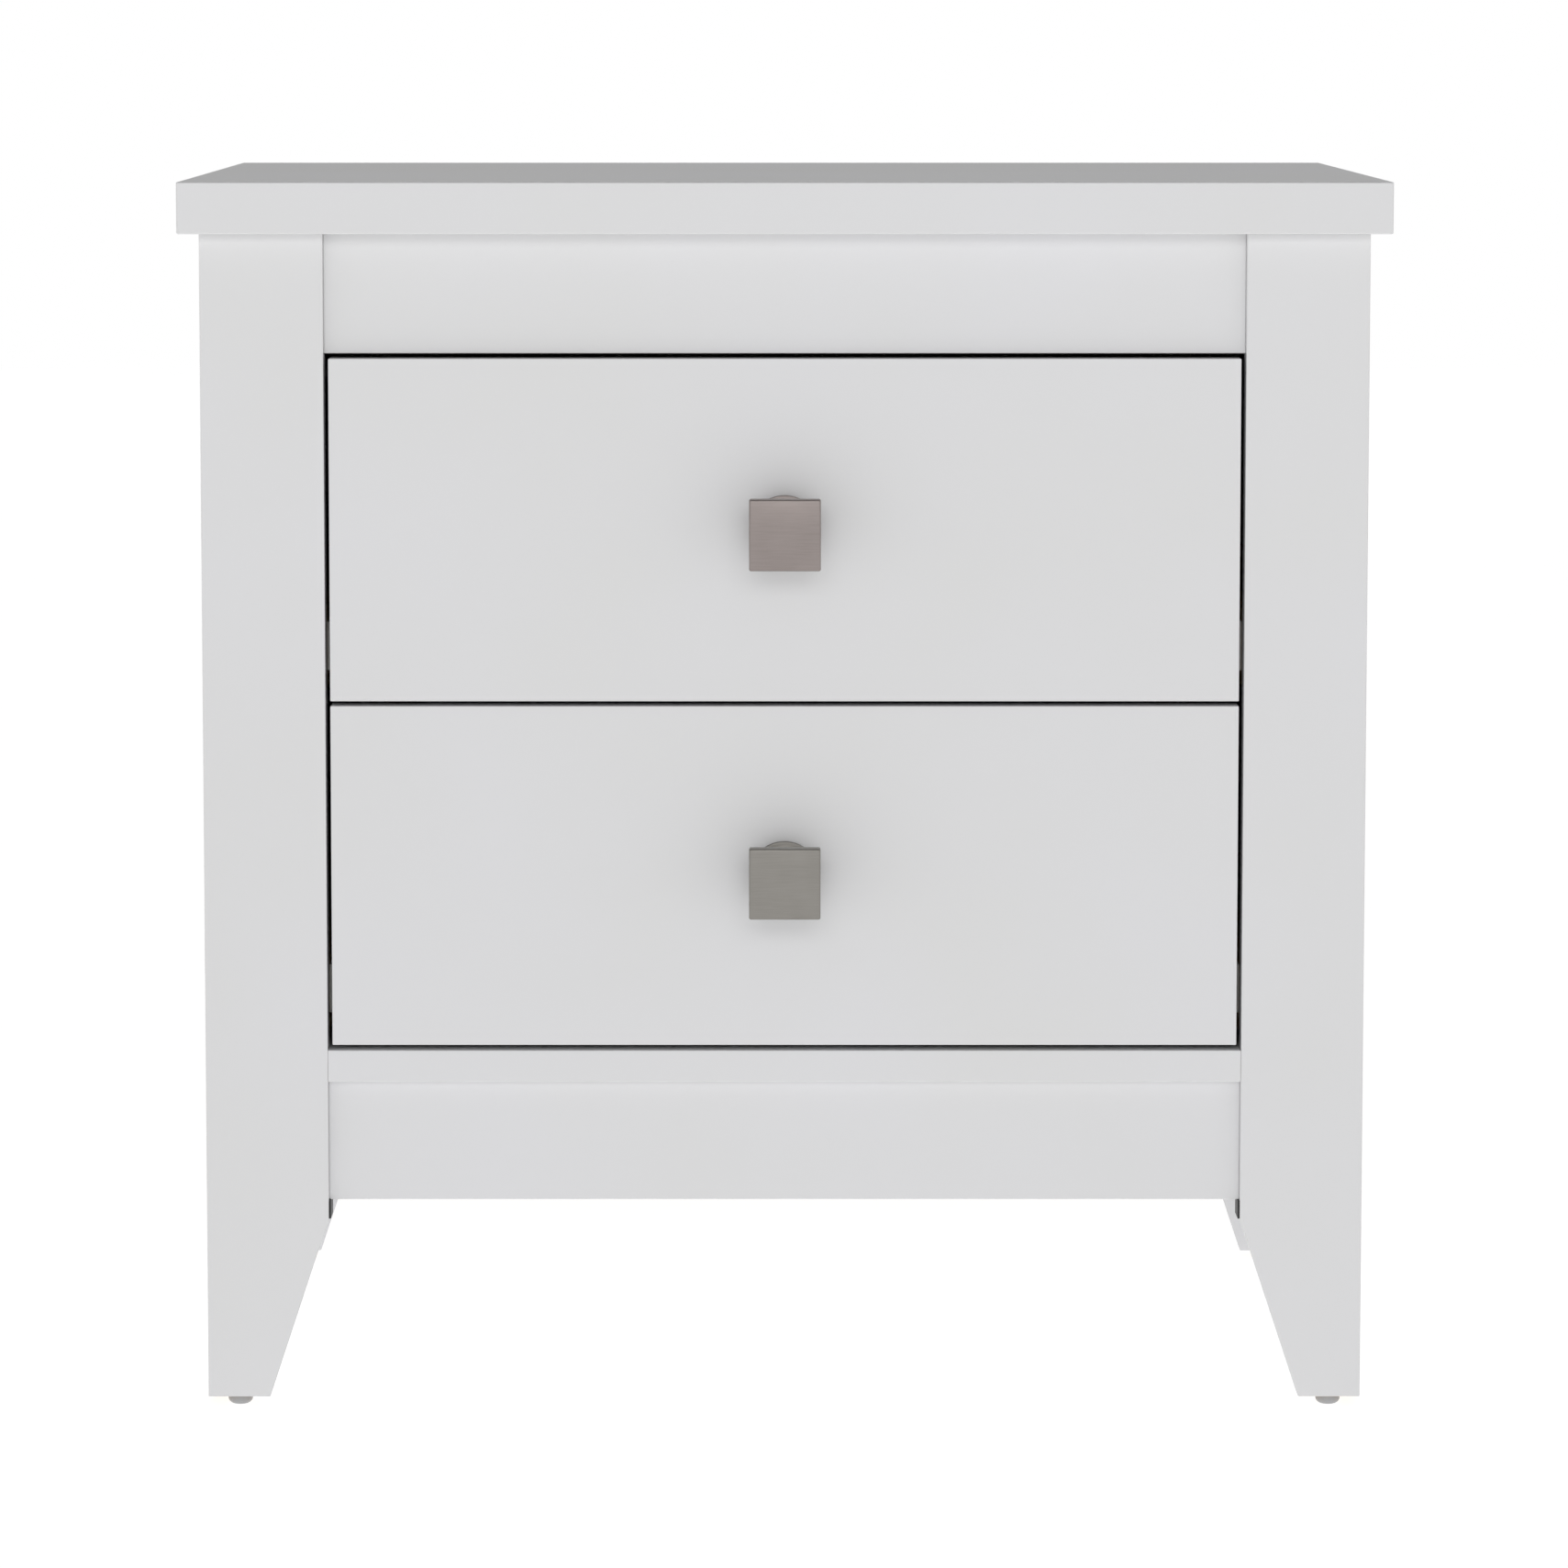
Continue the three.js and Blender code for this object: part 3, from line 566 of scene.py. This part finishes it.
def powder_coat(name):
    # White epoxy baked on steel: a thick soft gloss with slight orange peel, greyed where the
    # rollers run.
    peel = 2.5 * MM
    smear = 20 * MM
    material, tree = new_material(name)
    place = add_node(tree, "TexCoord", {}, {}).outputs["Object"]
    along = add_node(tree, "Mapping", {}, {"Vector": place, "Scale": (1, 0.15, 1)})
    smears = add_node(tree, "TexNoise", {}, {
        "Vector": along.outputs["Vector"], "Scale": 1 / smear, "Detail": 5.0})
    colour = add_node(tree, "Mix", {"data_type": "RGBA"}, {
        MIX_FACTOR: smears.outputs["Fac"], MIX_FROM: linear("#E8E8E4"), MIX_TO: linear("#D6D6D2")})
    gloss = add_node(tree, "MapRange", {}, {"Value": smears.outputs["Fac"], "To Min": 0.25, "To Max": 0.4})
    skin = add_node(tree, "TexNoise", {}, {"Vector": place, "Scale": 1 / peel, "Detail": 1.0})
    relief = add_node(tree, "Bump", {}, {
        "Strength": 0.3, "Distance": 0.08 * MM, "Height": skin.outputs["Fac"]})
    shader = add_node(tree, "BsdfPrincipled", {}, {
        "Base Color": colour.outputs[MIXED], "Roughness": gloss.outputs["Result"], "IOR": 1.52,
        "Normal": relief.outputs["Normal"]})
    add_node(tree, "OutputMaterial", {}, {"Surface": shader.outputs["BSDF"]})
    return material


def moulded_nylon(name):
    # Natural ivory nylon, faintly translucent and waxy, with a polished running face.
    cloud = 5 * MM
    material, tree = new_material(name)
    place = add_node(tree, "TexCoord", {}, {}).outputs["Object"]
    flow = add_node(tree, "TexNoise", {}, {"Vector": place, "Scale": 1 / cloud, "Detail": 3.0})
    colour = add_node(tree, "Mix", {"data_type": "RGBA"}, {
        MIX_FACTOR: flow.outputs["Fac"], MIX_FROM: linear("#E6E2D4"), MIX_TO: linear("#F2EFE6")})
    gloss = add_node(tree, "MapRange", {}, {"Value": flow.outputs["Fac"], "To Min": 0.32, "To Max": 0.5})
    relief = add_node(tree, "Bump", {}, {
        "Strength": 0.1, "Distance": 0.05 * MM, "Height": flow.outputs["Fac"]})
    shader = add_node(tree, "BsdfPrincipled", {}, {
        "Base Color": colour.outputs[MIXED], "Roughness": gloss.outputs["Result"], "IOR": 1.53,
        "Subsurface Weight": 0.15, "Subsurface Radius": (2 * MM, 1.6 * MM, 1.2 * MM),
        "Subsurface Scale": 1.0, "Normal": relief.outputs["Normal"]})
    add_node(tree, "OutputMaterial", {}, {"Surface": shader.outputs["BSDF"]})
    return material


def make_roller(node, material):
    """A roller with a raised hub and rim on both faces, and three gate marks that show it turn."""
    low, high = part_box(node)
    middle = (low + high) / 2
    radius = (high.z - low.z) / 2
    half = (high.x - low.x) / 2
    bore = 3.25 * MM
    hub = 4.9 * MM               # the web lies between the hub and the rim
    rim = 8.3 * MM
    pit = 0.8 * MM               # depth of the web below them
    face = [(bore, half), (hub, half), (hub, half - pit), (rim, half - pit), (rim, half), (radius, half)]
    outline = [(r, -z) for r, z in face] + [(r, z) for r, z in reversed(face)]
    gate_at = (hub + rim) / 2
    gate = 0.9 * MM              # radius of a gate mark
    gate_deep = 0.4 * MM

    def gates(x, y, height):
        """How far a point is lowered by the gate marks, or raised on the far face."""
        nearest = min(math.hypot(x - gate_at * math.cos(t), y - gate_at * math.sin(t))
                      for t in (math.radians(120 * i) for i in range(3)))
        return gate_deep * ramp(gate - nearest, gate / 2) * (1 if height > 0 else -1)

    clear = 0.1 * MM             # between the web's corners and the rings that carry the marks
    web_rings = [hub + clear + i * (rim - hub - 2 * clear) / 6 for i in range(7)]
    corners = rounded(outline, radius=0.3 * MM, steps=2)
    profile = []
    for before, after in zip(corners, corners[1:]):
        profile.append(before)
        on_web = abs(abs(before.y) - (half - pit)) < 0.01 * MM and abs(before.y - after.y) < 0.01 * MM
        if on_web:
            steps = [r for r in web_rings if min(before.x, after.x) < r < max(before.x, after.x)]
            steps.sort(reverse=before.x > after.x)
            profile += [Vector((r, before.y)) for r in steps]
    profile.append(corners[-1])
    shape = bmesh.new()
    add_turned(shape, profile, standing(middle, (1, 0, 0)), gates, ring=True, around=72)
    roller = piece_from(shape, f"{node}_wheel", material)
    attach(roller, node)
    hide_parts(node)


enamel = powder_coat("white_powder_coat_on_steel")
nylon = moulded_nylon("moulded_nylon")
for level in LEVELS:
    for name, side in SIDES.items():
        dress(f"{level}_{name}_cabinet_runner", enamel, RUNNER_EDGE)
        low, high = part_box(f"{level}_{name}_cabinet_runner")
        inner_face = side * (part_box("front_right_leg")[0].x - RUNNER_SHEET)
        shape = bmesh.new()
        for y in [low.y + hole for hole in CABINET_HOLES] + [high.y - CABINET_REAR_HOLE]:
            add_screw(shape, (inner_face, y, (low.z + high.z) / 2), (-side, 0, 0), **RUNNER_SCREW)
        screws = piece_from(shape, f"{level}_{name}_cabinet_runner_screws", plated_steel)
        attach(screws, "cabinet")
        make_roller(f"{level}_{name}_front_roller", nylon)


# ---------- Drawer boxes ----------
# A 15 mm melamine-faced front, 12 mm sides and back, and a hardboard bottom slid into grooves from
# behind. Cam locks pull the sides to the front, and the sides are screwed to the back.

THIN_EDGE = 0.4 * MM             # radius on the edges of the 12 mm boards
FIXINGS_UP = 48 * MM             # the lower cam and screw, above a side's lower edge
FIXINGS_DOWN = 24 * MM           # the upper ones, below its upper edge
BACK_SCREW = {"head": 3.6 * MM, "rise": 0.6 * MM, "shank": 2 * MM, "length": 30 * MM}

coated_bottom = hardboard("hardboard_coated_on_top", (0, 0, 1))
for level in LEVELS:
    drawer = f"{level}_drawer"
    dress(f"{drawer}_front", white_board, STRIP_EDGE)
    dress(f"{drawer}_back", white_board, THIN_EDGE)
    dress(f"{drawer}_bottom", coated_bottom, radius=0.2 * MM)
    back_y = sum(corner.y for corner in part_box(f"{drawer}_back")) / 2
    cams = bmesh.new()
    back_screws = bmesh.new()
    for name, side in SIDES.items():
        dress(f"{drawer}_{name}_side", white_board, THIN_EDGE)
        low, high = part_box(f"{drawer}_{name}_side")
        face = side * max(abs(low.x), abs(high.x))
        for z in (low.z + FIXINGS_UP, high.z - FIXINGS_DOWN):
            add_cam(cams, (face, low.y + CAM_BORED_IN, z), (side, 0, 0))
            add_screw(back_screws, (face, back_y, z), (side, 0, 0), **BACK_SCREW)
    cam_locks = piece_from(cams, f"{drawer}_cam_locks", cast_zinc)
    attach(cam_locks, drawer)
    back_fixings = piece_from(back_screws, f"{drawer}_back_screws", plated_steel)
    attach(back_fixings, drawer)


# ---------- Knobs and their screws ----------
# Zinc castings with a square head on a turned neck and round foot, brushed level across the head
# and nickel plated. A pan-head machine screw from inside the drawer holds each one.

HEAD_THICK = 8 * MM
HEAD_CHAMFER = 0.9 * MM
FOOT = 16.5 * MM                 # radius of the foot
FOOT_EDGE = 3 * MM               # height of its straight side
NECK = 7 * MM                    # radius of the neck
NECK_FROM = 10 * MM              # the neck is straight between these heights above the drawer
NECK_TO = 16 * MM
COLLAR = 9 * MM                  # radius of the stem where it meets the head
SUNK = 0.4 * MM                  # how far inside the head the flare to the collar ends
STEM_END = 1 * MM                # how far inside it the stem itself ends
TAPPED_HOLE = 2.25 * MM          # radius of the screw's hole
TAPPED_DEEP = 9 * MM
PAN_HEAD = 2.5 * MM              # rise of the screw's head


def brushed_nickel(name, tone, shadow):
    # Warm grey satin metal. Fine level scratches spread the reflections up and down, and the plate
    # is a little darker along the strokes.
    stroke = 0.45 * MM           # real scratches are 0.1 mm apart, drawn coarser so that they show
    cloud = 14 * MM
    material, tree = new_material(name)
    place = add_node(tree, "TexCoord", {}, {}).outputs["Object"]
    brushed = add_node(tree, "Mapping", {}, {"Vector": place, "Scale": (0.04, 1, 1)})
    strokes = add_node(tree, "TexNoise", {}, {
        "Vector": brushed.outputs["Vector"], "Scale": 1 / stroke, "Detail": 3.0})
    clouds = add_node(tree, "TexNoise", {}, {"Vector": place, "Scale": 1 / cloud, "Detail": 1.0})
    blend = add_node(tree, "Math", {"operation": "MULTIPLY"}, {
        0: strokes.outputs["Fac"], 1: clouds.outputs["Fac"]})
    colour = add_node(tree, "Mix", {"data_type": "RGBA"}, {
        MIX_FACTOR: blend.outputs["Value"], MIX_FROM: linear(tone), MIX_TO: linear(shadow)})
    gloss = add_node(tree, "MapRange", {}, {"Value": strokes.outputs["Fac"], "To Min": 0.34, "To Max": 0.5})
    relief = add_node(tree, "Bump", {}, {
        "Strength": 0.25, "Distance": 0.04 * MM, "Height": strokes.outputs["Fac"]})
    shader = add_node(tree, "BsdfPrincipled", {}, {
        "Base Color": colour.outputs[MIXED], "Metallic": 1.0, "Roughness": gloss.outputs["Result"],
        "Anisotropic": 0.4, "Normal": relief.outputs["Normal"]})
    add_node(tree, "OutputMaterial", {}, {"Surface": shader.outputs["BSDF"]})
    return material


def arc(centre, across, up, start, end, steps=10):
    """Points on part of an ellipse, its angles in degrees."""
    turns = [math.radians(start + (end - start) * i / steps) for i in range(steps + 1)]
    return [(centre[0] + across * math.cos(t), centre[1] + up * math.sin(t)) for t in turns]


# Both knobs are the same nickel. The upper knob's colours are painted lighter and warmer and the lower
# knob's darker: painted light and shade for where each knob sits.
NICKEL_PAINTED_PER_KNOB = {
    "upper": brushed_nickel("brushed_nickel_upper_painted_lighter", "#99908D", "#847C79"),
    "lower": brushed_nickel("brushed_nickel_lower_painted_darker", "#93908B", "#807D78"),
}
for level in LEVELS:
    low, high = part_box(f"{level}_knob")
    middle = (low + high) / 2
    head_wide = high.x - low.x
    head_back = high.y - low.y - HEAD_THICK
    cove = arc((FOOT, NECK_FROM), FOOT - NECK, NECK_FROM - FOOT_EDGE, -90, -180)
    flare = arc((COLLAR, NECK_TO), COLLAR - NECK, head_back + SUNK - NECK_TO, 180, 90)
    hole = [(0, TAPPED_DEEP), (TAPPED_HOLE, TAPPED_DEEP), (TAPPED_HOLE, 0)]
    rim = rounded([(TAPPED_HOLE, 0), (FOOT, 0), (FOOT, FOOT_EDGE), cove[1]], radius=0.4 * MM)
    stem_top = [(COLLAR, head_back + STEM_END), (0, head_back + STEM_END)]
    foot_middle = (middle.x, high.y, middle.z)

    shape = bmesh.new()
    outline = hole + rim[1:-1] + cove[1:] + flare + stem_top
    add_turned(shape, outline, standing(foot_middle, (0, -1, 0)), around=96)
    stem = piece_from(shape, f"{level}_knob_stem", NICKEL_PAINTED_PER_KNOB[level])

    shape = bmesh.new()
    block = Matrix.Diagonal((head_wide, head_wide, HEAD_THICK, 1))
    on_stem = Matrix.Translation((0, 0, head_back + HEAD_THICK / 2))
    facing_out = Matrix.Translation(foot_middle) @ Matrix.Rotation(math.pi / 2, 4, "X")
    bmesh.ops.create_cube(shape, size=1, matrix=facing_out @ on_stem @ block)
    bmesh.ops.bevel(shape, geom=shape.edges[:], offset=HEAD_CHAMFER, segments=4, profile=0.5,
                    affect="EDGES")
    knob = piece_from(shape, f"{level}_square_knob", NICKEL_PAINTED_PER_KNOB[level])

    # Head and stem are one casting, so the two become one mesh.
    union = knob.modifiers.new("one casting", "BOOLEAN")
    union.operation = "UNION"
    union.object = stem
    casting = bpy.data.meshes.new_from_object(knob.evaluated_get(bpy.context.evaluated_depsgraph_get()))
    knob.modifiers.clear()
    knob.data = casting
    bpy.data.objects.remove(stem)
    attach(knob, f"{level}_drawer")
    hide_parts(f"{level}_knob")

    low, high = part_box(f"{level}_knob_screw")
    seat_y = high.y - PAN_HEAD
    shape = bmesh.new()
    add_screw(shape, (middle.x, seat_y, middle.z), (0, 1, 0), head=(high.x - low.x) / 2,
              rise=PAN_HEAD, shank=2 * MM, length=seat_y - low.y)
    screw = piece_from(shape, f"{level}_knob_machine_screw", plated_steel)
    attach(screw, f"{level}_drawer")
    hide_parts(f"{level}_knob_screw")


# ---------- Drawer runners, their screws and rear rollers ----------
# The drawer's own profiles, folded from the same coated steel and screwed to its sides. Each has a
# roller on a rivet at its rear end, which runs inside the cabinet's channel.

FLAT_SCREW = {"head": 2.9 * MM, "rise": 0.45 * MM, "shank": 1.5 * MM, "length": 10 * MM}
SCREW_LINE = 4.5 * MM            # above the drawer side's lower edge
DRAWER_HOLES = (45 * MM, 175 * MM)      # from the runner's front end
DRAWER_REAR_HOLE = 45 * MM              # from its rear end

for level in LEVELS:
    for name, side in SIDES.items():
        dress(f"{level}_{name}_drawer_runner", enamel, RUNNER_EDGE)
        low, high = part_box(f"{level}_{name}_drawer_runner")
        side_low, side_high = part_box(f"{level}_drawer_{name}_side")
        outer_face = side * (max(abs(side_low.x), abs(side_high.x)) + RUNNER_SHEET)
        shape = bmesh.new()
        for y in [low.y + hole for hole in DRAWER_HOLES] + [high.y - DRAWER_REAR_HOLE]:
            add_screw(shape, (outer_face, y, side_low.z + SCREW_LINE), (side, 0, 0), **FLAT_SCREW)
        screws = piece_from(shape, f"{level}_{name}_drawer_runner_screws", plated_steel)
        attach(screws, f"{level}_drawer")
        make_roller(f"{level}_{name}_rear_roller", nylon)


# ---------- Top panel ----------
# One 24 mm melamine-faced board that overhangs the cabinet all round, with a thicker edge strip
# whose corners are rounded more. It goes on last, fixed from below.

dress("top_panel", white_board, radius=0.8 * MM)


# ---------- Floor, lights and camera ----------
# A white studio sweep, lit so that it glows behind and below the cabinet, one broad soft light in
# front, and a long lens a little above the top.


def white_studio_floor(name):
    # Matt white paper that is itself lit from below, so that only a trace of shadow stays on it.
    cloud = 600 * MM
    material, tree = new_material(name)
    place = add_node(tree, "TexCoord", {}, {}).outputs["Object"]
    clouds = add_node(tree, "TexNoise", {}, {"Vector": place, "Scale": 1 / cloud})
    colour = add_node(tree, "Mix", {"data_type": "RGBA"}, {
        MIX_FACTOR: clouds.outputs["Fac"], MIX_FROM: linear("#B4B4B4"), MIX_TO: linear("#BCBCBC")})
    shader = add_node(tree, "BsdfPrincipled", {}, {
        "Base Color": colour.outputs[MIXED], "Roughness": 0.9, "Specular IOR Level": 0.1,
        "Emission Color": (1, 1, 1, 1), "Emission Strength": 0.82})
    add_node(tree, "OutputMaterial", {}, {"Surface": shader.outputs["BSDF"]})
    return material


scene = bpy.context.scene
scene.view_settings.view_transform = "Standard"

floor_half = 9                   # metres from its middle to its edge
shape = bmesh.new()
bmesh.ops.create_grid(shape, x_segments=8, y_segments=8, size=floor_half)
floor = piece_from(shape, "studio_floor", white_studio_floor("white_studio_floor"))

# The sweep is white up to a little above the horizon, and the room over it is dim.
world = bpy.data.worlds.new("studio_sweep")
world.use_nodes = True
world.node_tree.nodes.clear()
direction = add_node(world.node_tree, "TexCoord", {}, {}).outputs["Generated"]
rise = add_node(world.node_tree, "SeparateXYZ", {}, {"Vector": direction})
overhead = add_node(world.node_tree, "MapRange", {"interpolation_type": "SMOOTHSTEP"}, {
    "Value": rise.outputs["Z"], "From Min": 0.14, "From Max": 0.28, "To Min": 0, "To Max": 1})
sweep = add_node(world.node_tree, "Mix", {"data_type": "RGBA"}, {
    MIX_FACTOR: overhead.outputs["Result"], MIX_FROM: (1, 1, 1, 1), MIX_TO: (0.33, 0.33, 0.33, 1)})
glow = add_node(world.node_tree, "Background", {}, {"Color": sweep.outputs[MIXED], "Strength": 1.0})
add_node(world.node_tree, "OutputWorld", {}, {"Surface": glow.outputs["Background"]})
scene.world = world

top_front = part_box("top_panel")[0].y
light_distance = 3.3             # in front of the top's front edge
light_height = 1.6
soft_light = bpy.data.lights.new("broad_front_light", "AREA")
soft_light.shape = "RECTANGLE"
soft_light.size = 2.4
soft_light.size_y = 0.9
soft_light.energy = 21
light = bpy.data.objects.new("broad_front_light", soft_light)
light.location = (0, top_front - light_distance, light_height)
light.rotation_euler = (math.radians(90), 0, 0)
light.visible_camera = False
scene.collection.objects.link(light)

eye_distance = 3.035             # in front of the top's front edge
eye_height = 0.65
eye_left = 0.016
tilt_down = 5.98                 # degrees
lens = bpy.data.cameras.new("long_lens")
lens.lens = 151.2
lens.sensor_width = 36
lens.shift_x = 0.0216
lens.shift_y = -0.05
camera = bpy.data.objects.new("camera", lens)
camera.location = (-eye_left, top_front - eye_distance, eye_height)
camera.rotation_euler = (math.radians(90 - tilt_down), 0, 0)
scene.collection.objects.link(camera)
scene.camera = camera
